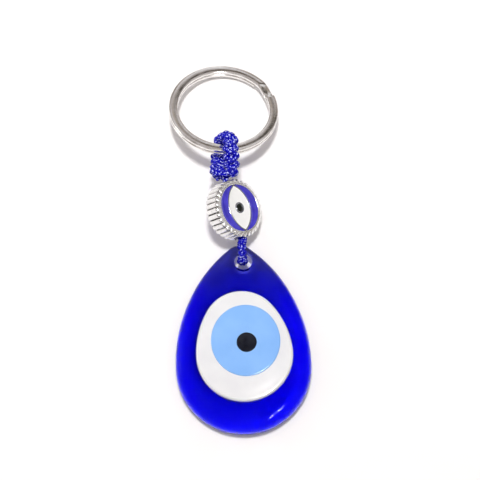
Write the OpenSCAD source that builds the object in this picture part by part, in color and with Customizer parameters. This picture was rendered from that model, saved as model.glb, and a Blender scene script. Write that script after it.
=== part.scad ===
// Evil eye key charm: a glass teardrop with an inlaid eye, an enamelled eye bead and a
// split ring, strung on one knotted nylon cord. It lies on a table with +Z up and +Y
// along the chain. The origin is on the drop's flat back, under the centre of its round end.

/* [Glass drop] */
// Radius of the round lower end
drop_r = 17.65; // [16:0.05:19]
// Radius of the rounded tip
tip_r = 4.4; // [4:0.1:4.8]
// Distance from the round end's centre to the tip's centre
tip_y = 28; // [27.8:0.1:28.2]
// Radius of the long side curves
side_r = 38.8; // [36:0.1:42]
// Thickness of the glass
glass_t = 6; // [5.6:0.1:6.4]
// How far the rounded front edge runs in from the side
glass_edge_w = 2.6; // [1.8:0.1:3]
// Height of that rounded edge
glass_edge_h = 3.6; // [2.4:0.1:4]
// Radius of the cord hole
hole_r = 2.3; // [2.2:0.05:2.4]
// Sideways place of the cord hole, which is drilled a little off centre
hole_x = 0.9; // [0:0.1:1]
// Place of the cord hole along the drop
hole_y = 27.8; // [27.6:0.1:28]
// Height of the glass back at the tip, which leaves room for the cord
tip_back_z = 2.8; // [2.6:0.1:2.9]
// Height of the glass front at the tip
tip_front_z = 5.2; // [5:0.1:5.3]

/* [Inlaid eye] */
// Radius of the white layer's lower end
white_r = 12.45; // [12:0.05:13]
// Radius of the white layer's upper end
white_top_r = 10.2; // [9.5:0.1:11]
// Distance between the centres of those two ends
white_span = 6.65; // [6:0.05:7]
// Radius of the white layer's sides
white_side_r = 22; // [20:0.5:26]
// Turn of the white layer, whose upper end leans aside
white_turn = 4; // [0:0.5:6]
// Half the width of the light blue layer
iris_r = 9; // [8.5:0.1:9.5]
// Its length over its width
iris_tall = 1.06; // [1:0.01:1.1]
// Radius of the black centre
eye_pupil_r = 2.6; // [2.2:0.1:3]

/* [Eye bead] */
// Radius over the rim's ribs
bead_r = 8; // [7.9:0.05:8.1]
// Thickness of the bead
bead_t = 5.2; // [5:0.1:5.4]
// Number of ribs round the rim
bead_ribs = 32; // [28:1:36]
// Radius of the cord bore
bore_r = 1.5; // [1.45:0.05:1.55]
// Radius of the enamelled field
enamel_r = 6.3; // [6.1:0.1:6.5]
// Depth of the enamelled field
enamel_depth = 0.7; // [0.6:0.05:0.8]
// Half the width of the almond
almond_half_w = 3.75; // [3.4:0.05:4]

/* [Split ring] */
// Outer diameter
ring_od = 30; // [29.8:0.1:30.2]
// Radial width of the wire
wire_w = 2.4; // [2.3:0.05:2.5]
// Height of the two coils together
wire_h = 2.3; // [2.2:0.05:2.4]

/* [Cord] */
// Radius of the bare cord in the bead
core_r = 1.2; // [1.1:0.05:1.25]
// Radius of the strand through the drop
strand_r = 0.85; // [0.75:0.05:0.9]
// Radius of one leg of the knotted stretch
leg_r = 1.9; // [1.8:0.05:1.95]
// Radius of the knotted loop round the ring
bight_r = 1.7; // [1.6:0.05:1.75]

/* [Hidden] */

$fn = 64;
eps = 0.01;
big = 60;

// Heights of the layers of the inlaid eye, each let into the one under it
white_floor_z = 5;
white_top_z = 6.9;
iris_floor_z = 6.1;
iris_top_z = 7.3;
pupil_floor_z = 6.7;
pupil_top_z = 7.6;
layer_edge_r = 0.5;
white_pos = [0.3, 2.4];
iris_pos = [0.8, 5.8];
pupil_pos = [0.95, 5.2];
back_edge_r = 1;
edge_steps = 4;
low_steps = 16;
side_steps = 12;
high_steps = 6;
drop_shape = [drop_r, tip_r, tip_y, side_r];
white_shape = [white_r, white_top_r, white_span, white_side_r];
back_relief_y = 14;
front_relief_y = 20;
relief_end_y = hole_y + hole_r;

// The bead sits on the cord's axis, turned and rolled as the cord holds it
bead_pos = [-1.03, 41.5, 6.85];
bead_yaw = 14.2;
bead_rise = 15;
bead_roll = 37;
cup_r = 1.45;
cup_wall = 0.3;
enamel_t = 0.45;
rib_r = 0.62;
rim_round = 0.7;
flare_r = 2.25;
flare_depth = 2;
core_from = -7;
core_to = 9;

// The knob of the drop's strand, just under the bead, is the hinge of the fold
knob_u = -8.55;
knob_r = 0.9;
knob_pos = bead_axis_point(knob_u);
neck_from = 8.6;
neck_len = 1.5;
neck_r = 2.4;

// The legs end in barrels on the line about which the ring swings
flex_pos = [-3.25, 52.6, 9.05];
leg_gap = 2.05;
leg_spread = 1.85;
strand_gap = 0.35;

// Split ring: its middle, its tilt and the two angles between which the coil ramps
ring_pos = [-2.85, 71.25, 5.25];
ring_tilt_x = -15.05;
ring_tilt_y = 4.8;
ring_r = ring_od / 2;
coil_gap = 0.06;
coil_h = (wire_h - coil_gap) / 2;
ramp_from = 19;
ramp_to = 33;
ramp_steps = 6;
wire_round = 0.25;

// The knotted loop wraps the wire at this radius, and leans so its ends meet the legs
wrap_r = 3.65;
wrap_pos = [-3.25, 57.95, 8.75];
wrap_lean = 2.05;

// Radius and offset of the circles that meet in the almond's outline
almond_half_l = enamel_r + 0.05;
almond_arc_r = (pow(almond_half_l, 2) + pow(almond_half_w, 2)) / (2 * almond_half_w);
almond_shift = almond_arc_r - almond_half_w;
almond_wall = 0.3;

// A point on the bead's cord axis, at a distance from the bead's middle
function bead_axis_point(u) = bead_pos
    + u * [-sin(bead_yaw) * cos(bead_rise), cos(bead_yaw) * cos(bead_rise), sin(bead_rise)];

// Ring of points round a route's point, square to the route's local direction
function unit(v) = v / norm(v);
function heading(route, i) =
    unit(route[min(i + 1, len(route) - 1)] - route[max(i - 1, 0)]);
function circle_points(centre, along, side, r, sides) =
    let (a = unit(side - (side * along) * along), b = cross(along, a))
    [for (k = [0:sides - 1]) centre + r * (cos(k * 360 / sides) * a + sin(k * 360 / sides) * b)];

// A round tube with flat ends along a route; side is a direction never along the route
module tube(route, r, side, sides = 12) {
    n = len(route);
    points = [for (i = [0:n - 1])
        each circle_points(route[i], heading(route, i), side, r, sides)];
    walls = [for (i = [0:n - 2], k = [0:sides - 1])
        let (m = (k + 1) % sides, a = i * sides, b = a + sides)
        each [[b + k, b + m, a + m], [b + k, a + m, a + k]]];
    first = [for (k = [0:sides - 1]) k];
    last = [for (k = [sides - 1:-1:0]) (n - 1) * sides + k];
    polyhedron(points = points, faces = [first, each walls, last], convexity = 6);
}

// A disc whose edges are rounded, standing on z0
module rounded_disc(r, z0, z1, edge, low_edge = 0) {
    rotate_extrude($fn = 128)
    difference() {
        translate([0, z0]) square([r, z1 - z0]);
        if (edge > 0) edge_cut(r, z1, edge, 1);
        if (low_edge > 0) edge_cut(r, z0, low_edge, -1);
    }
}

// What a rounding takes off a profile's corner at radius r and height z
module edge_cut(r, z, edge, up) {
    difference() {
        translate([r - edge, up > 0 ? z - edge : z]) square([edge + eps, edge]);
        translate([r - edge, z - up * edge]) circle(edge);
    }
}

// The outline of an egg, anticlockwise from its lowest point and drawn in by inset. Its
// shape is [low end's radius, high end's radius, distance between them, sides' radius].
function side_y(e) = (pow(e[3] - e[0], 2) - pow(e[3] - e[1], 2) + pow(e[2], 2)) / (2 * e[2]);
function side_x(e) = sqrt(pow(e[3] - e[0], 2) - pow(side_y(e), 2));
function egg_outline(e, inset) =
    let (y0 = side_y(e), x0 = side_x(e),
         low_end = atan2(-y0, x0), high_start = atan2(e[2] - y0, x0),
         right = [each arc_points([0, 0], e[0] - inset, -90, low_end, low_steps),
                  each arc_points([-x0, y0], e[3] - inset, low_end, high_start, side_steps),
                  each arc_points([0, e[2]], e[1] - inset, high_start, 90, high_steps),
                  [0, e[2] + e[1] - inset]])
    concat(right, [for (i = [len(right) - 2:-1:1]) [-right[i].x, right[i].y]]);
function arc_points(centre, r, from, to, steps) =
    [for (i = [0:steps - 1]) let (a = from + (to - from) * i / steps)
        centre + r * [cos(a), sin(a)]];

// An egg stacked up from rings of [inset, height], where height_at can change a height
module egg_solid(e, rings, height_at = function(y, z) z) {
    outlines = [for (r = rings) egg_outline(e, r[0])];
    n = len(outlines[0]);
    points = [for (i = [0:len(rings) - 1], p = outlines[i])
        [p.x, p.y, height_at(p.y, rings[i][1])]];
    walls = [for (i = [0:len(rings) - 2], k = [0:n - 1])
        let (m = (k + 1) % n, a = i * n, b = a + n)
        each [[b + k, b + m, a + m], [b + k, a + m, a + k]]];
    // Each end is closed by strips that run straight across, from one side to the other
    low_cap = [[0, 1, n - 1], for (k = [1:n / 2 - 2]) [k, k + 1, n - k - 1, n - k],
               [n / 2 - 1, n / 2, n / 2 + 1]];
    top = (len(rings) - 1) * n;
    high_cap = [for (q = low_cap) [for (i = [len(q) - 1:-1:0]) top + q[i]]];
    polyhedron(points = points, faces = [each low_cap, each walls, each high_cap],
               convexity = 4);
}

// Rings of a rounded edge between two heights: the low one starts drawn in by low_edge, and
// the high one ends drawn in by high_edge, over the height high_drop
function rounded_rings(z0, low_edge, z1, high_edge, high_drop) =
    [for (i = [0:edge_steps]) let (a = 90 * i / edge_steps)
        [low_edge * (1 - sin(a)), z0 + low_edge * (1 - cos(a))],
     for (i = [0:edge_steps]) let (a = 90 * i / edge_steps)
        [high_edge * (1 - cos(a)), z1 - high_drop * (1 - sin(a))]];

module drop_body() {
    color([0.02, 0.02, 0.75, 0.8])
    difference() {
        egg_solid(drop_shape, rounded_rings(0, back_edge_r, glass_t, glass_edge_w, glass_edge_h),
                  function(y, z) glass_z(y, z));
        translate([hole_x, hole_y, -1]) cylinder(r = hole_r, h = glass_t + 2);
        translate([white_pos.x, white_pos.y, white_floor_z]) rotate(white_turn)
            linear_extrude(glass_t) polygon(egg_outline(white_shape, 0));
    }
}

// The height of a point of the glass, which grows thinner and lifts towards the tip
function ease(share) = let (c = min(max(share, 0), 1)) c * c * (3 - 2 * c);
function glass_z(y, z) =
    let (back = tip_back_z * ease((y - back_relief_y) / (relief_end_y - back_relief_y)),
         front = glass_t
             - (glass_t - tip_front_z) * ease((y - front_relief_y) / (relief_end_y - front_relief_y)))
    back + z / glass_t * (front - back);

module white_layer() {
    color("white")
    difference() {
        translate([white_pos.x, white_pos.y, 0]) rotate(white_turn)
            egg_solid(white_shape, [[0, white_floor_z], for (i = [0:edge_steps])
                let (a = 90 * i / edge_steps)
                [layer_edge_r * (1 - cos(a)), white_top_z - layer_edge_r * (1 - sin(a))]]);
        in_iris() translate([0, 0, iris_floor_z]) cylinder(r = iris_r, h = 2, $fn = 128);
    }
}

// Places its children on the light blue layer's middle, drawn out along the drop
module in_iris() {
    translate([iris_pos.x, iris_pos.y, 0]) scale([1, iris_tall, 1]) children();
}

module iris_layer() {
    color([0.42, 0.7, 1])
    difference() {
        in_iris()
            rounded_disc(iris_r, iris_floor_z, iris_top_z, layer_edge_r - 0.1);
        translate([pupil_pos.x, pupil_pos.y, pupil_floor_z])
            cylinder(r = eye_pupil_r, h = 2, $fn = 128);
    }
}

module pupil_layer() {
    color([0.02, 0.03, 0.06])
    translate([pupil_pos.x, pupil_pos.y, 0])
        rounded_disc(eye_pupil_r, pupil_floor_z, pupil_top_z, layer_edge_r - 0.2);
}

// The strand goes over the tip, down through the drop's hole and back under the tip
module hole_loop() {
    x = hole_x;
    route = [[x, knob_pos.y, 4.9], [x, 33.25, 5.9], [x, 32.2, 6.4], [x, 31, 6.6], [x, 29.7, 6.5],
             [x, 28.6, 6], [x, 28, 5.1], [x, 27.8, 4], [x, 28, 2.8], [x, 28.6, 1.9],
             [x, 29.7, 1.2], [x, 31, 1.1], [x, 32.3, 1.4], [x, 33.45, 2.3], [x, knob_pos.y, 4.3]];
    color([0.05, 0.05, 0.7]) {
        tube(route, strand_r, [1, 0, 0]);
        translate([x, knob_pos.y, knob_pos.z]) sphere(knob_r, $fn = 32);
    }
}

// Places its children in the bead's frame: Y along the cord, Z out of the front face
module in_bead() {
    translate(bead_pos) rotate([0, 0, bead_yaw]) rotate([bead_rise, 0, 0])
        rotate([0, bead_roll, 0]) children();
}

module core_cord() {
    color([0.05, 0.05, 0.7])
    in_bead() translate([0, core_from, 0]) rotate([-90, 0, 0])
        cylinder(r = core_r, h = core_to - core_from);
}

module neck_wrap() {
    color([0.05, 0.05, 0.75])
    difference() {
        in_bead() translate([0, neck_from, 0]) rotate([-90, 0, 0])
            rounded_disc(neck_r, 0, neck_len, 0.5, 0.5);
        core_cord();
    }
}

// One leg of the knotted stretch, from the neck to its barrel on the ring's hinge line
module leg(side) {
    start = bead_axis_point(neck_from + neck_len + 0.02);
    out = flex_pos.x + side * leg_gap;
    in_x = start.x + side * leg_spread;
    route = [[in_x, start.y + 0.55, start.z], [(in_x + out) / 2, start.y + 1.1, start.z - 0.1],
             [out, flex_pos.y, flex_pos.z]];
    color([0.05, 0.05, 0.75])
    difference() {
        union() {
            tube(route, leg_r - 0.1, [0, 0, 1]);
            translate([out - leg_r, flex_pos.y, flex_pos.z]) rotate([0, 90, 0])
                cylinder(r = leg_r, h = 2 * leg_r);
        }
        neck_wrap();
    }
}

module cord_leg_left() {
    leg(-1);
}

module cord_leg_right() {
    leg(1);
}

// The almond's outline, drawn in by inset
module almond(inset) {
    intersection_for (s = [-1, 1])
        translate([s * almond_shift, 0]) circle(almond_arc_r - inset, $fn = 96);
}

module bead_body() {
    floor_z = bead_t / 2 - enamel_depth;
    color([0.8, 0.8, 0.82])
    in_bead() difference() {
        union() {
            difference() {
                ribbed_blank();
                for (s = [0, 1]) mirror([0, 0, s])
                    translate([0, 0, floor_z]) cylinder(r = enamel_r, h = 2, $fn = 96);
            }
            for (s = [0, 1]) mirror([0, 0, s])
                translate([0, 0, floor_z - eps]) linear_extrude(enamel_depth + eps) eye_walls();
        }
        rotate([90, 0, 0]) cylinder(r = bore_r, h = 3 * bead_r, center = true);
        for (a = [-90, 90]) rotate([a, 0, 0])
            translate([0, 0, bead_r - flare_depth])
                cylinder(r1 = bore_r, r2 = flare_r, h = flare_depth + 0.2);
    }
}

// The bead before its faces are sunk: a ribbed disc with a rounded rim
module ribbed_blank() {
    intersection() {
        translate([0, 0, -bead_t / 2]) linear_extrude(bead_t) {
            circle(bead_r - rib_r, $fn = 96);
            for (i = [0:bead_ribs - 1]) rotate((i + 0.5) * 360 / bead_ribs)
                translate([bead_r - rib_r, 0]) circle(rib_r, $fn = 24);
        }
        rounded_disc(bead_r, -bead_t / 2, bead_t / 2, rim_round, rim_round);
    }
}

// The thin raised lines that hold the enamel: the almond's outline and the pupil's cup
module eye_walls() {
    intersection() {
        circle(enamel_r + almond_wall, $fn = 96);
        difference() {
            almond(0);
            almond(almond_wall);
        }
    }
    difference() {
        circle(cup_r, $fn = 48);
        circle(cup_r - cup_wall, $fn = 48);
    }
}

// A layer of enamel on one face, front 1 or back -1, shaped by its children
module enamel(face) {
    in_bead() mirror([0, 0, face > 0 ? 0 : 1])
        translate([0, 0, bead_t / 2 - enamel_depth]) linear_extrude(enamel_t) children();
}

module crescent(side) {
    difference() {
        circle(enamel_r, $fn = 96);
        almond(0);
        translate([side > 0 ? -big : 0, -big / 2]) square(big);
    }
}

module white_almond() {
    difference() {
        almond(almond_wall);
        circle(cup_r, $fn = 48);
    }
}

module bead_front_blue_left() {
    color([0.15, 0.1, 0.8]) enamel(1) crescent(-1);
}

module bead_front_blue_right() {
    color([0.15, 0.1, 0.8]) enamel(1) crescent(1);
}

module bead_front_white() {
    color("white") enamel(1) white_almond();
}

module bead_front_pupil() {
    color("black") enamel(1) circle(cup_r - cup_wall, $fn = 48);
}

module bead_back_blue_left() {
    color([0.15, 0.1, 0.8]) enamel(-1) crescent(-1);
}

module bead_back_blue_right() {
    color([0.15, 0.1, 0.8]) enamel(-1) crescent(1);
}

module bead_back_white() {
    color("white") enamel(-1) white_almond();
}

module bead_back_pupil() {
    color("black") enamel(-1) circle(cup_r - cup_wall, $fn = 48);
}

// The knotted loop: out from the right leg, over the wire, down inside the ring, back under
// the wire to the left leg. It leans sideways evenly as it goes round.
module cord_bight() {
    reach = norm([wrap_pos.y - flex_pos.y, wrap_pos.z - flex_pos.z]);
    tangent = acos(wrap_r / reach);
    droop = atan((flex_pos.z - wrap_pos.z) / (wrap_pos.y - flex_pos.y));
    from = 180 - tangent - droop;
    to = -180 + tangent - droop;
    arc = [for (i = [0:16]) let (a = from + (to - from) * i / 16)
        wrap_pos + [wrap_lean * sin(90 * (1 - i / 8)), wrap_r * cos(a), wrap_r * sin(a)]];
    ends = [for (s = [1, -1]) [flex_pos.x + s * leg_gap, flex_pos.y, flex_pos.z]];
    start = leg_r + strand_gap;
    route = [ends[0] + start * unit(arc[0] - ends[0]), each arc,
             ends[1] + start * unit(arc[16] - ends[1])];
    color([0.05, 0.05, 0.75])
        tube(route, bight_r, [1, 0, 0]);
}

// One flat coil of the ring's wire, from one angle round to another, standing on z
module coil(from, to, z) {
    rotate([0, 0, from]) translate([0, 0, z])
        rotate_extrude(angle = to - from, $fn = 128) wire_section();
}

module wire_section() {
    x = ring_r - wire_w;
    difference() {
        translate([x, 0]) square([wire_w, coil_h]);
        for (s = [0, 1]) translate([x + s * wire_w, 0]) rotate(45)
            square(wire_round, center = true);
        for (s = [0, 1]) translate([x + s * wire_w, coil_h]) rotate(45)
            square(wire_round, center = true);
    }
}

module split_ring() {
    low = -wire_h / 2;
    high = coil_gap / 2;
    color([0.82, 0.82, 0.84])
    translate(ring_pos) rotate([ring_tilt_x, 0, 0]) rotate([0, ring_tilt_y, 0]) {
        coil(ramp_to - eps, ramp_from + 360, high);
        coil(ramp_to + 6, ramp_from + 360 + eps, low);
        for (i = [0:ramp_steps - 1])
            hull() {
                ramp_slice(i / ramp_steps, low, high);
                ramp_slice((i + 1) / ramp_steps, low, high);
            }
    }
}

// A thin slice of wire on the ramp between the coils, at a share of the way up
module ramp_slice(share, low, high) {
    rise = (1 - cos(180 * share)) / 2;
    a = ramp_from + (ramp_to - ramp_from) * share;
    rotate([0, 0, a]) translate([ring_r - wire_w, -eps, low + (high - low) * rise])
        cube([wire_w, 2 * eps, coil_h]);
}

drop_body();
white_layer();
iris_layer();
pupil_layer();
hole_loop();
core_cord();
neck_wrap();
cord_leg_left();
cord_leg_right();
bead_body();
bead_front_blue_left();
bead_front_blue_right();
bead_front_white();
bead_front_pupil();
bead_back_blue_left();
bead_back_blue_right();
bead_back_white();
bead_back_pupil();
cord_bight();
split_ring();
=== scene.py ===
"""Evil eye key charm: glass teardrop with an inlaid eye, enamelled bead, knotted cord, split ring."""
import math

import bpy
import numpy as np
from mathutils import Matrix, Vector


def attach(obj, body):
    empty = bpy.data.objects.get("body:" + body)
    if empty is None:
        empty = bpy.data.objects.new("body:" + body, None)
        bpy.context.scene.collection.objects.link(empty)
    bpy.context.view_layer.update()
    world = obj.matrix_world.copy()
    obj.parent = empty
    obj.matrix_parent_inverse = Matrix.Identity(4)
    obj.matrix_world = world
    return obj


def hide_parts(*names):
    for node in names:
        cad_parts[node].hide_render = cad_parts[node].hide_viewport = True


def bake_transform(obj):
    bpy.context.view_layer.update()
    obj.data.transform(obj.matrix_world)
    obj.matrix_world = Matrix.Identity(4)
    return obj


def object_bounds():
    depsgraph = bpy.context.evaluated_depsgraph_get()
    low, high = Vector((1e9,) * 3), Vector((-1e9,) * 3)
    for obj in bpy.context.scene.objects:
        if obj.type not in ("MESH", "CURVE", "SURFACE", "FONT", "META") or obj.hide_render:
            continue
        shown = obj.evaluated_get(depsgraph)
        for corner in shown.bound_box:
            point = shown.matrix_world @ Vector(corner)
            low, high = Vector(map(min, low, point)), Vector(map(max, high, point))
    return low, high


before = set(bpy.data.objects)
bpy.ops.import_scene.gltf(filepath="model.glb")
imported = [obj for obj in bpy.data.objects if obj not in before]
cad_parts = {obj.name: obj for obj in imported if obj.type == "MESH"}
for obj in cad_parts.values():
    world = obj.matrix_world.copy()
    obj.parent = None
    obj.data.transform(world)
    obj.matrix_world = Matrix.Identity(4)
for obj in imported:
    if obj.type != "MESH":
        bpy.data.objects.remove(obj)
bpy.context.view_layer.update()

MM = 0.001
TAU = 2 * math.pi

# how fine the meshes are
VOXEL = 0.17
EGG_DETAIL = 12
STEP = 0.08
SIDES = 30
CORE_SIDES = 12

# ---------------------------------------------------------------- sizes, in millimetres and degrees
# an egg is (low end's radius, high end's radius, distance between them, radius of the sides)
DROP = (17.65, 4.4, 28.0, 38.8)
GLASS_T = 6.0
TIP_BACK, TIP_FRONT = 2.8, 5.2
BACK_LIFT_Y, BACK_LIFT_RUN = 14.0, 16.1
FRONT_LIFT_Y, FRONT_LIFT_RUN = 20.0, 10.1
BACK_EDGE_R = 1.0
FRONT_EDGE_W, FRONT_EDGE_H = 2.6, 3.3
FRONT_EDGE_Z = 5.35
GLASS_MIDDLE = (0.0, 5.0)
HOLE = (0.9, 27.8)
HOLE_R, HOLE_FLARE, HOLE_WAIST = 2.3, 0.5, 0.12
WHITE = (12.45, 10.2, 6.65, 22.0)
WHITE_AT = (0.3, 2.4)
WHITE_TURN = 4.0
IRIS_AT, IRIS_R, IRIS_TALL = (0.72, 5.8), 8.92, 1.06
PUPIL_AT, PUPIL_R = (0.95, 5.2), 2.6

BEAD_AT = np.array([-1.03, 41.5, 6.85])
BEAD_YAW, BEAD_RISE, BEAD_ROLL = 14.2, 15.0, 37.0
BEAD_HALF = 2.6
RIBS, RIB_H = 32, 0.62
ENAMEL_R, ENAMEL_FLOOR = 6.3, 1.9
ALMOND_L, ALMOND_W = 6.35, 3.75
ALMOND_WALL = 0.36
CUP_R, CUP_WALL = 1.5, 0.42

RING_AT = (-2.85, 71.25, 5.25)
RING_R, WIRE_W, WIRE_H = 15.0, 2.4, 1.12
WIRE_CORNER, WIRE_CROWN, COIL_GAP = 0.26, 0.24, 0.06
RING_TILT_X, RING_TILT_Y = -15.05, 4.8
RAMP = (380.0, 401.0)
RING_FROM, RING_TO = 46.0, 739.0

WRAP_AT, WRAP_R = np.array([-3.25, 57.95, 8.75]), 3.52


# ---------------------------------------------------------------- mesh helpers
def piece(name, points, faces, material, slot, sharp=None):
    """A shown mesh, from points in millimetres."""
    data = bpy.data.meshes.new(name)
    data.from_pydata((np.asarray(points) * MM).tolist(), [], faces)
    data.validate()
    data.shade_smooth()
    if sharp:
        data.set_sharp_from_angle(angle=math.radians(sharp))
    obj = bpy.data.objects.new(name, data)
    bpy.context.scene.collection.objects.link(obj)
    data.materials.append(material)
    return obj


def grid_faces(rows, columns, closed, first=0):
    """Quads between rows of points; closed joins each row's ends."""
    faces = []
    for i in range(rows - 1):
        for k in range(columns if closed else columns - 1):
            m = (k + 1) % columns
            a, b = first + i * columns, first + (i + 1) * columns
            faces.append((a + k, a + m, b + m, b + k))
    return faces


def loft(rings):
    """Points and faces of a closed solid through rings of points; each end closes to its middle."""
    rings = np.asarray(rings, float)
    rows, columns, _ = rings.shape
    faces = grid_faces(rows, columns, True)
    points = np.concatenate([rings.reshape(-1, 3), [rings[0].mean(0)], [rings[-1].mean(0)]])
    low, high = rows * columns, rows * columns + 1
    top = (rows - 1) * columns
    for k in range(columns):
        m = (k + 1) % columns
        faces.append((low, m, k))
        faces.append((high, top + k, top + m))
    return points, faces


def lathe(profile, steps):
    """Points and faces of a solid turned about Z from (radius, height) pairs."""
    angles = np.arange(steps) * TAU / steps
    return loft([[(r * math.cos(a), r * math.sin(a), z) for a in angles] for r, z in profile])


def join(parts):
    """Several (points, faces) as one."""
    points, faces, count = [], [], 0
    for p, f in parts:
        points.append(np.asarray(p))
        faces += [tuple(i + count for i in q) for q in f]
        count += len(p)
    return np.concatenate(points), faces


def placed(points, matrix):
    """Points moved by a 4x4."""
    m = np.array(matrix)
    return np.asarray(points) @ m[:3, :3].T + m[:3, 3]


def unit(v):
    """Vectors at length 1."""
    return v / np.linalg.norm(v, axis=-1, keepdims=True)


def spline(route, step):
    """Points at even steps along a smooth curve through the route."""
    r = np.asarray(route, float)
    r = np.concatenate([[2 * r[0] - r[1]], r, [2 * r[-1] - r[-2]]])
    fine = []
    for i in range(1, len(r) - 2):
        t = np.linspace(0, 1, 24, endpoint=False)[:, None]
        a, b, c, d = r[i - 1:i + 3]
        fine.append(0.5 * (2 * b + (c - a) * t + (2 * a - 5 * b + 4 * c - d) * t ** 2
                           + (3 * b - a - 3 * c + d) * t ** 3))
    fine = np.concatenate(fine + [r[-2:-1]])
    run = np.concatenate([[0], np.cumsum(np.linalg.norm(np.diff(fine, axis=0), axis=1))])
    at = np.linspace(0, run[-1], max(int(run[-1] / step), 8))
    return np.stack([np.interp(at, run, fine[:, k]) for k in range(3)], axis=1), at


def frames(points, side=(1, 0, 0)):
    """Tangent and two cross directions at each point."""
    t = unit(np.gradient(points, axis=0))
    side = np.broadcast_to(np.asarray(side, float), points.shape)
    a = unit(side - (side * t).sum(1, keepdims=True) * t)
    return t, a, np.cross(t, a)


def tube(points, side, radius, lobes, depth, lay, sides):
    """A cord laid from twisted plies: lobes ridges go once round in each lay. Its ends are rounded."""
    _, a, b = frames(points, side)
    run = np.concatenate([[0], np.cumsum(np.linalg.norm(np.diff(points, axis=0), axis=1))])
    angle = np.arange(sides) * TAU / sides
    ridges = np.abs(np.cos(0.5 * lobes * (angle[None] - TAU * run[:, None] / lay)))
    r = np.broadcast_to(radius, run.shape)[:, None] * (1 - depth + depth * ridges ** 0.7)
    end = np.minimum(run, run[-1] - run) / r.mean()
    r = r * np.sqrt(np.clip(1 - (1 - np.clip(end, 0, 1)) ** 2, 0.03, 1))[:, None]
    rings = (points[:, None] + r[..., None]
             * (np.cos(angle)[None, :, None] * a[:, None] + np.sin(angle)[None, :, None] * b[:, None]))
    return loft(rings)


def applied(obj, kind, **settings):
    """Adds a modifier and makes its result the object's mesh."""
    modifier = obj.modifiers.new(kind, kind)
    for key, value in settings.items():
        setattr(modifier, key, value)
    graph = bpy.context.evaluated_depsgraph_get()
    graph.update()
    data = bpy.data.meshes.new_from_object(obj.evaluated_get(graph))
    old = obj.data
    obj.modifiers.clear()
    obj.data = data
    data.name = obj.name
    bpy.data.meshes.remove(old)
    return obj


def cut(obj, points, faces):
    """Takes a solid away from an object."""
    data = bpy.data.meshes.new("cutter")
    data.from_pydata((np.asarray(points) * MM).tolist(), [], faces)
    cutter = bpy.data.objects.new("cutter", data)
    bpy.context.scene.collection.objects.link(cutter)
    applied(obj, "BOOLEAN", object=cutter, operation="DIFFERENCE", solver="EXACT")
    bpy.data.objects.remove(cutter)
    bpy.data.meshes.remove(data)
    obj.data.shade_smooth()


# ---------------------------------------------------------------- materials
class Look:
    """A procedural material built on one Principled shader."""

    def __init__(self, name, **sockets):
        self.material = bpy.data.materials.new(name)
        self.material.use_nodes = True
        self.tree = self.material.node_tree
        self.shader = self.tree.nodes["Principled BSDF"]
        self.output = self.tree.nodes["Material Output"]
        self.where = self.node("ShaderNodeTexCoord").outputs["Object"]
        for key, value in sockets.items():
            self.shader.inputs[key.replace("_", " ")].default_value = value

    def node(self, kind):
        return self.tree.nodes.new(kind)

    def link(self, a, b):
        self.tree.links.new(a, b)

    def noise(self, scale, detail=2.0, stretch=None):
        """A noise of that many features per metre."""
        n = self.node("ShaderNodeTexNoise")
        n.inputs["Scale"].default_value = scale
        n.inputs["Detail"].default_value = detail
        where = self.where
        if stretch:
            mapping = self.node("ShaderNodeMapping")
            mapping.inputs["Scale"].default_value = stretch
            self.link(where, mapping.inputs["Vector"])
            where = mapping.outputs["Vector"]
        self.link(where, n.inputs["Vector"])
        return n.outputs["Fac"]

    def along(self, start, end, noise, waver):
        """0 to 1 as Y goes from start to end in metres, made uneven by a noise."""
        split = self.node("ShaderNodeSeparateXYZ")
        self.link(self.where, split.inputs[0])
        share = self.node("ShaderNodeMapRange")
        share.inputs["From Min"].default_value = start
        share.inputs["From Max"].default_value = end
        self.link(split.outputs["Y"], share.inputs["Value"])
        total = self.node("ShaderNodeMath")
        total.operation = "MULTIPLY_ADD"
        total.inputs[1].default_value = waver
        self.link(noise, total.inputs[0])
        self.link(share.outputs["Result"], total.inputs[2])
        return total.outputs[0]

    def ramp(self, source, stops, target):
        """Source through a colour ramp of (position, colour) into the target input."""
        r = self.node("ShaderNodeValToRGB")
        r.color_ramp.elements[0].position = stops[0][0]
        r.color_ramp.elements[0].color = stops[0][1]
        r.color_ramp.elements[1].position = stops[-1][0]
        r.color_ramp.elements[1].color = stops[-1][1]
        for position, colour in stops[1:-1]:
            r.color_ramp.elements.new(position).color = colour
        self.link(source, r.inputs["Fac"])
        self.link(r.outputs["Color"], self.shader.inputs[target])

    def painted_groove_shade(self, colour, reach):
        """Paints shade into the base colour: darker in grooves no wider than reach metres, where ambient
        occlusion finds the surface hidden.
        """
        shade = self.node("ShaderNodeAmbientOcclusion")
        shade.inputs["Distance"].default_value = reach
        shade.samples = 6
        mix = self.node("ShaderNodeMix")
        mix.data_type = "RGBA"
        mix.inputs[6].default_value = colour
        self.link(shade.outputs["AO"], mix.inputs["Factor"])
        self.link(self.shader.inputs["Base Color"].links[0].from_socket, mix.inputs[7])
        self.link(mix.outputs[2], self.shader.inputs["Base Color"])

    def bump(self, source, strength, distance):
        b = self.node("ShaderNodeBump")
        b.inputs["Strength"].default_value = strength
        b.inputs["Distance"].default_value = distance
        self.link(source, b.inputs["Height"])
        self.link(b.outputs["Normal"], self.shader.inputs["Normal"])


def grey(v):
    """A neutral colour."""
    return (v, v, v, 1)


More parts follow.
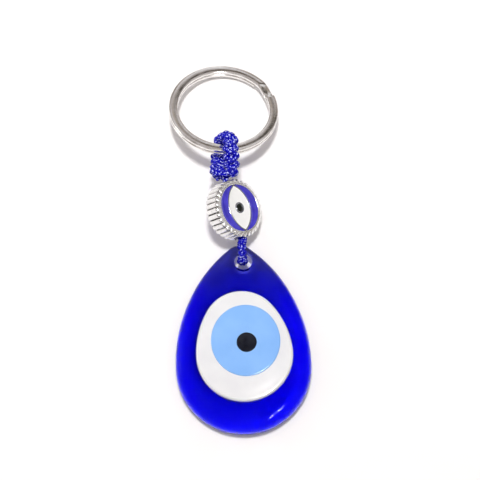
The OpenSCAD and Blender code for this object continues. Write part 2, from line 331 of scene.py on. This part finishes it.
glass = Look("cobalt_glass", Transmission_Weight=1.0, IOR=1.45, Roughness=0.03, Specular_IOR_Level=0.3,
             Specular_Tint=(0.12, 0.12, 0.5, 1))
# painted shade: the glass's base colour darkens towards the tip, where the bead and cord shade it
glass.ramp(glass.along(0.008, 0.034, glass.noise(120, 3), 0.35),
           [(0.30, (0.95, 0.97, 1.0, 1)), (0.65, (0.62, 0.65, 0.74, 1)), (1.0, (0.34, 0.36, 0.46, 1))],
           "Base Color")
glass.bump(glass.noise(260, 2), 0.25, 0.0002)
absorb = glass.node("ShaderNodeVolumeAbsorption")
absorb.inputs["Color"].default_value = (0.0, 0.005, 0.95, 1)
absorb.inputs["Density"].default_value = 620.0
glass.link(absorb.outputs["Volume"], glass.output.inputs["Volume"])

white = Look("white_glass", Roughness=0.16, Coat_Weight=0.4, Coat_Roughness=0.06)
white.ramp(white.noise(140, 3), [(0.3, (0.71, 0.72, 0.75, 1)), (0.7, (0.77, 0.78, 0.80, 1))], "Base Color")
white.bump(white.noise(220, 2), 0.12, 0.0002)

sky = Look("light_blue_glass", Roughness=0.14, Coat_Weight=0.5, Coat_Roughness=0.05)
sky.ramp(sky.noise(160, 3), [(0.3, (0.195, 0.425, 0.86, 1)), (0.7, (0.23, 0.475, 0.92, 1))], "Base Color")
sky.bump(sky.noise(240, 2), 0.12, 0.0002)

black = Look("black_glass", Roughness=0.08, Specular_IOR_Level=0.25)
black.ramp(black.noise(300, 2), [(0.3, (0.003, 0.004, 0.009, 1)), (0.7, (0.006, 0.008, 0.018, 1))],
           "Base Color")

bead_metal = Look("bead_metal", Metallic=1.0)
bead_metal.ramp(bead_metal.noise(900, 3), [(0.3, (0.80, 0.80, 0.80, 1)), (0.7, (0.90, 0.90, 0.90, 1))],
                "Base Color")
bead_metal.ramp(bead_metal.noise(700, 3), [(0.3, grey(0.16)), (0.7, grey(0.27))], "Roughness")
bead_metal.bump(bead_metal.noise(1500, 2), 0.25, 0.0001)
# painted shade: the base colour goes dark brown in the grooves between the ribs, by ambient occlusion
bead_metal.painted_groove_shade((0.04, 0.03, 0.018, 1), 0.0016)

bead_line = Look("bead_line", Metallic=1.0, Roughness=0.25)
bead_line.ramp(bead_line.noise(900, 3), [(0.3, (0.28, 0.29, 0.33, 1)), (0.7, (0.40, 0.41, 0.45, 1))],
               "Base Color")

enamel_blue = Look("enamel_blue", Roughness=0.10, Coat_Weight=0.35, Coat_Roughness=0.04)
enamel_blue.ramp(enamel_blue.noise(400, 2),
                 [(0.3, (0.035, 0.026, 0.42, 1)), (0.7, (0.055, 0.042, 0.55, 1))], "Base Color")
enamel_white = Look("enamel_white", Roughness=0.14, Coat_Weight=0.5, Coat_Roughness=0.05)
enamel_white.ramp(enamel_white.noise(400, 2),
                  [(0.3, (0.85, 0.86, 0.86, 1)), (0.7, (0.90, 0.91, 0.91, 1))], "Base Color")
enamel_black = Look("enamel_black", Roughness=0.08, Specular_IOR_Level=0.3)
enamel_black.ramp(enamel_black.noise(400, 2),
                  [(0.3, (0.003, 0.004, 0.003, 1)), (0.7, (0.007, 0.009, 0.006, 1))], "Base Color")

steel = Look("nickel_steel", Metallic=1.0)
steel.ramp(steel.noise(500, 3), [(0.3, (0.80, 0.78, 0.755, 1)), (0.7, (0.90, 0.88, 0.86, 1))], "Base Color")
steel.ramp(steel.noise(350, 4), [(0.3, grey(0.10)), (0.7, grey(0.20))], "Roughness")
steel.bump(steel.noise(2500, 2), 0.12, 0.00005)

nylon = Look("nylon_cord", Roughness=0.2, Specular_IOR_Level=0.15)
# painted highlights: the pale flecks at the top of the ramp stand in for glints off the shiny filaments
nylon.ramp(nylon.noise(2300, 1), [(0.3, (0.0, 0.0, 0.20, 1)), (0.59, (0.0, 0.0, 0.55, 1)),
                                  (0.66, (0.60, 0.65, 1.0, 1))], "Base Color")
nylon.bump(nylon.noise(5200, 2), 0.5, 0.00008)


# ---------------------------------------------------------------- glass drop and its eye
def arc(centre, r, start, stop, steps):
    """Points round an arc, without its last."""
    a = np.linspace(start, stop, steps, endpoint=False)
    return np.stack([centre[0] + r * np.cos(a), centre[1] + r * np.sin(a)], axis=1)


def egg(shape, inset, detail):
    """Outline of an egg of two round ends and two long side curves."""
    low_r, high_r, span, side_r = shape
    y0 = ((side_r - low_r) ** 2 - (side_r - high_r) ** 2 + span ** 2) / (2 * span)
    x0 = math.sqrt((side_r - low_r) ** 2 - y0 ** 2)
    first, last = math.atan2(-y0, x0), math.atan2(span - y0, x0)
    right = np.concatenate([
        arc((0, 0), low_r - inset, -math.pi / 2, first, 5 * detail),
        arc((-x0, y0), side_r - inset, first, last, 4 * detail),
        arc((0, span), high_r - inset, last, math.pi / 2, 2 * detail),
        [[0, span + high_r - inset]]])
    return np.concatenate([right, right[-2:0:-1] * [-1, 1]])


def smoothstep(x):
    """0 to 1 with level ends."""
    x = np.clip(x, 0, 1)
    return x * x * (3 - 2 * x)


def lift(y, z):
    """The glass grows thinner and lifts off the table towards the tip."""
    back = TIP_BACK * smoothstep((y - BACK_LIFT_Y) / BACK_LIFT_RUN)
    front = GLASS_T - (GLASS_T - TIP_FRONT) * smoothstep((y - FRONT_LIFT_Y) / FRONT_LIFT_RUN)
    return back + z / GLASS_T * (front - back)


def drop_rings():
    """(inset, share of the way out from the middle, height) round the section: a flat back, a full edge
    and a gently domed front."""
    quarter = np.linspace(0, math.pi / 2, 9)
    crown = GLASS_T - FRONT_EDGE_Z
    back = [(BACK_EDGE_R, share, 0.0) for share in (0.2, 0.4, 0.6, 0.8, 0.92)]
    low = [(BACK_EDGE_R * (1 - math.sin(a)), 1.0, BACK_EDGE_R * (1 - math.cos(a))) for a in quarter]
    high = [(FRONT_EDGE_W * (1 - math.cos(a)), 1.0, FRONT_EDGE_Z - FRONT_EDGE_H * (1 - math.sin(a)))
            for a in quarter]
    dome = [(FRONT_EDGE_W, share, GLASS_T - crown * share ** 2)
            for share in (0.93, 0.82, 0.7, 0.55, 0.4, 0.2)]
    return back + low + high + dome


def build_drop():
    """The glass, with its hole drilled and every edge melted soft."""
    rings = []
    middle = np.array(GLASS_MIDDLE)
    for inset, share, z in drop_rings():
        outline = middle + (egg(DROP, inset, EGG_DETAIL) - middle) * share
        rings.append([(x, y, lift(y, z)) for x, y in outline])
    obj = piece("drop_glass", *loft(rings), glass.material, "blue_glass")
    profile = [(HOLE_R + HOLE_FLARE, 0.0), (HOLE_R + HOLE_WAIST, 3.1), (HOLE_R, 4.0),
               (HOLE_R + HOLE_WAIST, 4.7), (HOLE_R + HOLE_FLARE, 7.0)]
    points, faces = lathe(profile, 64)
    cut(obj, points + [HOLE[0], HOLE[1], 0], faces)
    applied(obj, "REMESH", mode="VOXEL", voxel_size=VOXEL * MM)
    applied(obj, "SMOOTH", factor=0.5, iterations=7)
    obj.data.shade_smooth()
    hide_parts("drop_body")
    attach(obj, "drop")


# how far in a layer's dome rises, the steps it takes, and how it eases
BROAD_DOME = (4.0, (0.15, 0.35, 0.6, 1.0), smoothstep)
SMALL_DOME = (1.2, (0.3, 0.6, 1.0), float)


def layer(name, outline, at, profile, middle, dome, look, slot, node, wobble, phase):
    """A poured layer: outline(inset) swept up through (inset, height), then domed to a middle height."""
    rings = []
    edge, top = profile[-1]
    reach, shares, ease = dome
    inner = [(edge + s * reach, top + (middle - top) * ease(s)) for s in shares]
    for inset, z in profile + inner:
        o = outline(inset)
        a = np.arctan2(o[:, 1], o[:, 0])
        swell = 1 + wobble * np.sin(2 * a + phase) + wobble * 0.6 * np.sin(3 * a + 2 * phase)
        rings.append(np.column_stack([at[0] + o[:, 0] * swell, at[1] + o[:, 1] * swell,
                                      np.full(len(o), z)]))
    obj = piece(name, *loft(rings), look.material, slot)
    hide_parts(node)
    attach(obj, "drop")


def edge_profile(floor, top, r):
    """A layer's wall up from a floor to its rounded top edge."""
    quarter = np.linspace(0, math.pi / 2, 9)
    return [(0.0, floor)] + [(r * (1 - math.cos(a)), top - r * (1 - math.sin(a))) for a in quarter]


def disc(radius, tall=1.0):
    """A round layer's outline, a little taller than wide."""
    return lambda inset: arc((0, 0), radius - inset, 0, TAU, 128) * [1, tall]


def white_outline(inset):
    """The white layer's egg, which leans aside."""
    turn = math.radians(WHITE_TURN)
    x, y = egg(WHITE, inset, EGG_DETAIL).T
    return np.column_stack([x * math.cos(turn) - y * math.sin(turn),
                            x * math.sin(turn) + y * math.cos(turn)])


build_drop()
layer("eye_white", white_outline, WHITE_AT, edge_profile(5.0, 6.72, 0.75), 6.9, BROAD_DOME,
      white, "white_glass", "white_layer", wobble=0.004, phase=1.0)
layer("eye_iris", disc(IRIS_R, IRIS_TALL), IRIS_AT, edge_profile(6.1, 7.16, 0.35), 7.3, BROAD_DOME,
      sky, "light_blue_glass", "iris_layer", wobble=0.003, phase=2.0)
layer("eye_pupil", disc(PUPIL_R), PUPIL_AT, edge_profile(6.7, 7.5, 0.28), 7.6, SMALL_DOME,
      black, "black_glass", "pupil_layer", wobble=0.006, phase=0.6)


# ---------------------------------------------------------------- eye bead
BEAD = (Matrix.Translation(BEAD_AT) @ Matrix.Rotation(math.radians(BEAD_YAW), 4, "Z")
        @ Matrix.Rotation(math.radians(BEAD_RISE), 4, "X")
        @ Matrix.Rotation(math.radians(BEAD_ROLL), 4, "Y"))
BEAD_AXIS = np.array(BEAD)[:3, 1]


def on_axis(u):
    """A point of the cord's axis through the bead."""
    return BEAD_AT + u * BEAD_AXIS


def bead_half():
    """(radius, height, share of a rib's height) from the middle of the front to the rim's middle."""
    floor, top = ENAMEL_FLOOR, BEAD_HALF
    return [(2.0, floor, 0), (4.5, floor, 0), (6.2, floor, 0), (ENAMEL_R, floor + 0.06, 0),
            (ENAMEL_R + 0.03, top - 0.16, 0), (ENAMEL_R + 0.10, top - 0.05, 0),
            (ENAMEL_R + 0.22, top, 0), (ENAMEL_R + 0.40, top, 0), (ENAMEL_R + 0.56, top - 0.04, 0.2),
            (ENAMEL_R + 0.70, top - 0.14, 0.6), (ENAMEL_R + 0.88, top - 0.30, 0.9),
            (ENAMEL_R + 1.02, top - 0.5, 1), (ENAMEL_R + 1.08, top - 0.75, 1), (ENAMEL_R + 1.08, 1.2, 1),
            (ENAMEL_R + 1.08, 0.5, 1)]


def ridge(centres, half_w, low, high):
    """A thin raised line with a rounded top along (x, y) centres."""
    centres = np.asarray(centres)
    t = unit(np.gradient(centres, axis=0))
    normal = np.column_stack([-t[:, 1], t[:, 0]])
    section = [(-1, low), (-1, high - 0.1), (-0.7, high - 0.02), (0, high), (0.7, high - 0.02),
               (1, high - 0.1), (1, low)]
    rings = [[(c[0] + n[0] * w * half_w, c[1] + n[1] * w * half_w, z) for w, z in section]
             for c, n in zip(centres, normal)]
    return loft(rings)


ARC_R = (ALMOND_L ** 2 + ALMOND_W ** 2) / (2 * ALMOND_W)


def almond_x(y, inset):
    """Half the almond's width at y."""
    return np.sqrt(np.maximum((ARC_R - inset) ** 2 - y ** 2, 0)) - (ARC_R - ALMOND_W)


def field(y, x_from, x_to, low, edge_z, middle_z, across=18):
    """A pool of enamel: rows across it at each y, its top hanging between its edges."""
    s = (1 - np.cos(np.linspace(0, math.pi, across))) / 2
    x = x_from[:, None] + (x_to - x_from)[:, None] * s[None]
    sag = np.clip(1 - np.abs(2 * s - 1) ** 3, 0, 1)[None]
    top = edge_z + (middle_z - edge_z) * sag * np.clip((x_to - x_from)[:, None] / 1.2, 0, 1)
    yy = np.broadcast_to(y[:, None], x.shape)
    upper = np.stack([x, yy, top], axis=2)
    lower = np.stack([x[:, ::-1], yy, np.full(x.shape, low)], axis=2)
    return loft(np.concatenate([upper, lower], axis=1))


def build_bead_body():
    """The ribbed metal disc with the cord's bore through it."""
    profile = bead_half()
    profile = profile + [(r, -z, s) for r, z, s in reversed(profile)]
    steps = RIBS * 16
    angles = np.arange(steps) * TAU / steps
    rib = np.abs(np.sin(angles * RIBS / 2)) ** 0.6
    rings = []
    for r, z, share in profile:
        rr = r + RIB_H * share * rib
        rings.append(np.column_stack([rr * np.cos(angles), rr * np.sin(angles), np.full(steps, z)]))
    points, faces = loft(rings)
    body = piece("bead_metal_body", placed(points, BEAD), faces, bead_metal.material, "bead_metal")
    half_bore = [(1.5, 5.5), (1.52, 6.3), (1.75, 7.2), (2.2, 8.0), (2.45, 8.6)]
    points, faces = lathe([(r, -z) for r, z in reversed(half_bore)] + half_bore, 64)
    along_cord = BEAD @ Matrix.Rotation(math.radians(-90), 4, "X")
    cut(body, placed(points, along_cord), faces)
    body.data.set_sharp_from_angle(angle=math.radians(42))
    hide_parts("bead_body")
    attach(body, "bead")


def enamel(name, geometry, turn, look, slot, node):
    """One pool of enamel on a face of the bead."""
    points, faces = geometry
    pool = piece(name, placed(points, turn), faces, look.material, slot)
    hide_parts(node)
    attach(pool, "bead")


def build_bead_face(face, turn):
    """A face's raised lines and its four pools of enamel."""
    rows = np.sin(np.linspace(-math.pi / 2, math.pi / 2, 61)) * 0.985
    pool_floor = ENAMEL_FLOOR - 0.06
    y = ALMOND_L * rows
    lines = [ridge(np.column_stack([s * almond_x(y, ALMOND_WALL / 2), y]), ALMOND_WALL / 2,
                   ENAMEL_FLOOR - 0.1, 2.52)
             for s in (-1, 1)]
    cup = lathe([(0.4, 1.8), (CUP_R, 1.8), (CUP_R, 2.42), (CUP_R - 0.06, 2.5), (CUP_R - 0.15, 2.54),
                 (CUP_R - CUP_WALL + 0.05, 2.5), (CUP_R - CUP_WALL, 2.42), (CUP_R - CUP_WALL, 1.9),
                 (0.3, 1.9)], 48)
    points, faces = join(lines + [cup])
    wires = piece(f"bead_{face}_lines", placed(points, turn), faces, bead_line.material, "bead_metal",
                  sharp=50)
    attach(wires, "bead")

    pool_r = ENAMEL_R + 0.02
    y = pool_r * rows
    inner = np.maximum(almond_x(y, 0.04), 0)
    outer = np.sqrt(pool_r ** 2 - y ** 2)
    for name, start, stop in (("left", -outer, -inner), ("right", inner, outer)):
        enamel(f"enamel_{face}_{name}", field(y, start, stop, pool_floor, 2.46, 2.12), turn,
               enamel_blue, "enamel_blue", f"bead_{face}_blue_{name}")
    y = ALMOND_L * rows * 0.955
    inner = almond_x(y, ALMOND_WALL - 0.03)
    enamel(f"enamel_{face}_white", field(y, -inner, inner, pool_floor, 2.45, 2.36, across=26), turn,
           enamel_white, "enamel_white", f"bead_{face}_white")
    dot = CUP_R - CUP_WALL + 0.03
    drop_of_black = lathe([(dot, 1.95), (dot, 2.40), (dot * 0.86, 2.49), (dot * 0.6, 2.56),
                           (dot * 0.25, 2.6)], 40)
    enamel(f"enamel_{face}_dot", drop_of_black, turn, enamel_black, "enamel_black",
           f"bead_{face}_pupil")


build_bead_body()
build_bead_face("front", BEAD)
build_bead_face("back", BEAD @ Matrix.Rotation(math.pi, 4, "Y"))


# ---------------------------------------------------------------- cord
def braid(route, radius, lay, grow=None, flat=1.0):
    """Four cords plaited round a core along a route; radius is the plait's. grow(points) can scale it,
    and flat makes it wider and thinner."""
    centre, run = spline(route, STEP)
    _, a, b = frames(centre)
    scale = np.ones(len(run)) if grow is None else grow(centre)
    middle, swing, thick = radius * 0.52, radius * 0.13, radius * 0.385
    parts = []
    for way, start in ((1, 0.0), (1, math.pi), (-1, 0.0), (-1, math.pi)):
        turn = TAU * run / lay
        angle = way * turn + start + math.pi / 2
        r = (middle + way * swing * np.cos(2 * turn)) * scale
        out = np.cos(angle)[:, None] * a * flat + np.sin(angle)[:, None] * b / flat
        parts.append(tube(centre + out * r[:, None], out, thick * scale, lobes=4, depth=0.3, lay=2.2,
                          sides=SIDES))
    parts.append(tube(centre, a, middle * 0.95 * scale, lobes=3, depth=0.05, lay=3.0, sides=CORE_SIDES))
    return join(parts)


def build_sinnet():
    """The knotted doubled cord: up over the wire, down inside the ring and back under it."""
    over = [WRAP_AT + [0.25 + 1.75 * math.sin(a), WRAP_R * math.cos(a), WRAP_R * math.sin(a)]
            for a in np.radians([112, 80, 45, 0, -45, -80, -112])]
    route = ([(-1.75, 50.0, 9.6), (-1.3, 51.1, 10.1), (-1.2, 52.9, 10.7), (-1.2, 54.6, 11.5)] + over
             + [(-4.9, 54.6, 6.2), (-5.0, 52.9, 7.5), (-4.95, 51.1, 8.3), (-4.1, 50.0, 8.7)])
    points, faces = braid(route, 1.92, 4.3,
                          lambda p: 0.66 + 0.34 * smoothstep((p[:, 1] - 50.0) / 1.7), flat=1.2)
    obj = piece("knotted_cord", points, faces, nylon.material, "nylon_cord")
    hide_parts("cord_leg_left", "cord_leg_right", "cord_bight")
    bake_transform(obj)


def build_gather():
    """The turns that draw the two legs together just above the bead."""
    side = unit(np.array([1.0, 0, 0]) - BEAD_AXIS[0] * BEAD_AXIS)
    up = np.cross(side, BEAD_AXIS)
    t = np.linspace(0, 1, 520)
    angle = TAU * (2.6 * t + 0.2)
    u = 9.4 + 1.5 * t - 1.0 * np.cos(angle)
    wide, deep = 2.55 + 0.45 * t, 1.95
    path = (BEAD_AT + u[:, None] * BEAD_AXIS + (wide * np.cos(angle))[:, None] * side
            + (deep * np.sin(angle))[:, None] * up)
    parts = [tube(path, BEAD_AXIS, 0.46, lobes=3, depth=0.3, lay=1.7, sides=SIDES)]
    stub, _ = spline([on_axis(8.2), on_axis(9.2), on_axis(10.6)], STEP)
    parts.append(tube(stub, side, 1.75, lobes=7, depth=0.12, lay=6.0, sides=42))
    points, faces = join(parts)
    obj = piece("neck_gather", points, faces, nylon.material, "nylon_cord")
    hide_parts("neck_wrap")
    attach(obj, "cord")


def build_core():
    """The cord through the bead."""
    route = [on_axis(u) for u in (-6.4, -3, 0, 3, 6, 8.6)]
    points, faces = braid(route, 1.3, 3.6)
    obj = piece("bead_core_cord", points, faces, nylon.material, "nylon_cord")
    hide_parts("core_cord")
    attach(obj, "cord")


def fuller(points):
    """The strand's swelling where it passes through the glass."""
    return 1 + 0.25 * np.exp(-((points[:, 2] - 3.95) / 1.3) ** 2) * (points[:, 1] < 29)


def build_hole_strand():
    """The plaited cord over the tip, down through the hole and back under the tip."""
    x = HOLE[0] - 0.15
    over = [(33.25, 5.6), (32.2, 6.25), (31, 6.4), (29.7, 6.25), (28.65, 5.65), (28.05, 4.9), (27.85, 4.0),
            (28.05, 2.9), (28.7, 1.95), (29.8, 1.45), (31, 1.3), (32.3, 1.55), (33.3, 2.5)]
    route = [on_axis(-6.2) + [0, 0.1, 0.4], on_axis(-7.3) + [0, 0.1, 0.5], on_axis(-8.3) + [0, 0, 0.7]]
    route += [(x, y, z) for y, z in over]
    route += [on_axis(-8.4) + [0, 0, -0.9], on_axis(-7.3) + [0, -0.1, -0.5], on_axis(-6.2) + [0, -0.1, -0.4]]
    points, faces = braid(route, 1.02, 2.9, grow=fuller, flat=1.3)
    obj = piece("hole_strand", points, faces, nylon.material, "nylon_cord")
    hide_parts("hole_loop")
    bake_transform(obj)


build_sinnet()
build_gather()
build_core()
build_hole_strand()


# ---------------------------------------------------------------- split ring
def build_ring():
    """One flat wire swept through two coils, with a ramp between them."""
    turn = (Matrix.Translation(RING_AT) @ Matrix.Rotation(math.radians(RING_TILT_X), 4, "X")
            @ Matrix.Rotation(math.radians(RING_TILT_Y), 4, "Y"))
    degrees = np.arange(RING_FROM, RING_TO + 0.01, 1.0)
    rise = (1 - np.cos(math.pi * np.clip((degrees - RAMP[0]) / (RAMP[1] - RAMP[0]), 0, 1))) / 2
    z = (rise - 0.5) * (WIRE_H + COIL_GAP)
    half_w, half_h, r = WIRE_W / 2, WIRE_H / 2, WIRE_CORNER
    corner = np.linspace(0, math.pi / 2, 7)
    section = []
    for k, (sx, sy) in enumerate(((1, 1), (-1, 1), (-1, -1), (1, -1))):
        for a in corner:
            angle = a + k * math.pi / 2
            section.append((sx * (half_w - r) + r * math.cos(angle),
                            sy * (half_h - r) + r * math.sin(angle)))
    section = np.array(section)
    section[:, 1] *= 1 - WIRE_CROWN * (section[:, 0] / half_w) ** 2
    middle = RING_R - half_w
    rings = []
    for i, (d, zz) in enumerate(zip(np.radians(degrees), z)):
        s = section * (0.93 if i in (0, len(degrees) - 1) else 1.0)
        rings.append(np.column_stack([(middle + s[:, 0]) * math.cos(d), (middle + s[:, 0]) * math.sin(d),
                                      zz + s[:, 1]]))
    points, faces = loft(rings)
    obj = piece("split_ring_wire", placed(points, turn), faces, steel.material, "ring_steel", sharp=55)
    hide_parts("split_ring")
    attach(obj, "ring")


build_ring()

# ---------------------------------------------------------------- floor, light and camera
low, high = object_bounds()

paper = Look("pale_paper", Roughness=0.85, Specular_IOR_Level=0.2)
paper.ramp(paper.noise(30, 2), [(0.3, (0.90, 0.89, 0.895, 1)), (0.7, (0.93, 0.925, 0.93, 1))], "Base Color")
bpy.ops.mesh.primitive_plane_add(size=3.0, location=(0, 0.03, low.z - 0.00005))
floor = bpy.context.object
floor.name = "floor"
floor.data.materials.append(paper.material)


AIM = Vector((0, 0.035, 0))


def lamp(name, at, size, watts, colour, unseen=()):
    """A square soft lamp aimed at the charm; rays of the unseen kinds miss it."""
    data = bpy.data.lights.new(name, "AREA")
    data.shape = "RECTANGLE"
    data.size = data.size_y = size
    data.energy = watts
    data.color = colour
    obj = bpy.data.objects.new(name, data)
    obj.location = at
    obj.rotation_euler = (AIM - Vector(at)).to_track_quat("-Z", "Y").to_euler()
    for ray in unseen:
        setattr(obj, f"visible_{ray}", False)
    bpy.context.scene.collection.objects.link(obj)


lamp("key", (-0.01, 0.13, 0.60), 0.08, 2.6, (1.0, 0.985, 0.965), ("glossy", "transmission"))
lamp("glint", (0.10, -0.09, 0.50), 0.03, 2.2, (1.0, 1.0, 1.0), ("diffuse", "transmission"))
lamp("sparkle", (0.075, 0.0, 0.45), 0.012, 0.6, (1.0, 1.0, 1.0), ("diffuse", "transmission"))
lamp("side", (-0.40, 0.10, 0.16), 0.12, 0.20, (1.0, 0.95, 0.88))

world = bpy.data.worlds.new("studio")
bpy.context.scene.world = world
world.use_nodes = True
sky_tree = world.node_tree
around = sky_tree.nodes.new("ShaderNodeTexCoord")
patches = sky_tree.nodes.new("ShaderNodeTexNoise")
patches.inputs["Scale"].default_value = 4.6
patches.inputs["Detail"].default_value = 1.5
shade = sky_tree.nodes.new("ShaderNodeValToRGB")
stops = [(0.39, (0.03, 0.027, 0.024, 1)), (0.46, (0.42, 0.35, 0.28, 1)), (0.53, (0.52, 0.49, 0.51, 1)),
         (0.62, (0.95, 0.94, 0.95, 1))]
shade.color_ramp.elements[0].position, shade.color_ramp.elements[0].color = stops[0]
shade.color_ramp.elements[1].position, shade.color_ramp.elements[1].color = stops[-1]
for position, colour in stops[1:-1]:
    shade.color_ramp.elements.new(position).color = colour
background = sky_tree.nodes["Background"]
background.inputs["Strength"].default_value = 0.95
sky_tree.links.new(around.outputs["Generated"], patches.inputs["Vector"])
sky_tree.links.new(patches.outputs["Fac"], shade.inputs["Fac"])
sky_tree.links.new(shade.outputs["Color"], background.inputs["Color"])

TARGET = Vector((0.304, 34.21, 3.0)) * MM
AZIMUTH, ELEVATION, DISTANCE = math.radians(-2.1), math.radians(72), 0.330
back = Vector((math.sin(AZIMUTH) * math.cos(ELEVATION), -math.cos(AZIMUTH) * math.cos(ELEVATION),
               math.sin(ELEVATION)))
camera_data = bpy.data.cameras.new("camera")
camera_data.lens = 92.57
camera_data.sensor_width = 36
camera_data.clip_start = 0.01
camera_data.clip_end = 10
camera = bpy.data.objects.new("camera", camera_data)
camera.location = TARGET + back * DISTANCE
camera.rotation_euler = back.to_track_quat("Z", "Y").to_euler()
bpy.context.scene.collection.objects.link(camera)
bpy.context.scene.camera = camera
bpy.context.scene.view_settings.view_transform = "Standard"
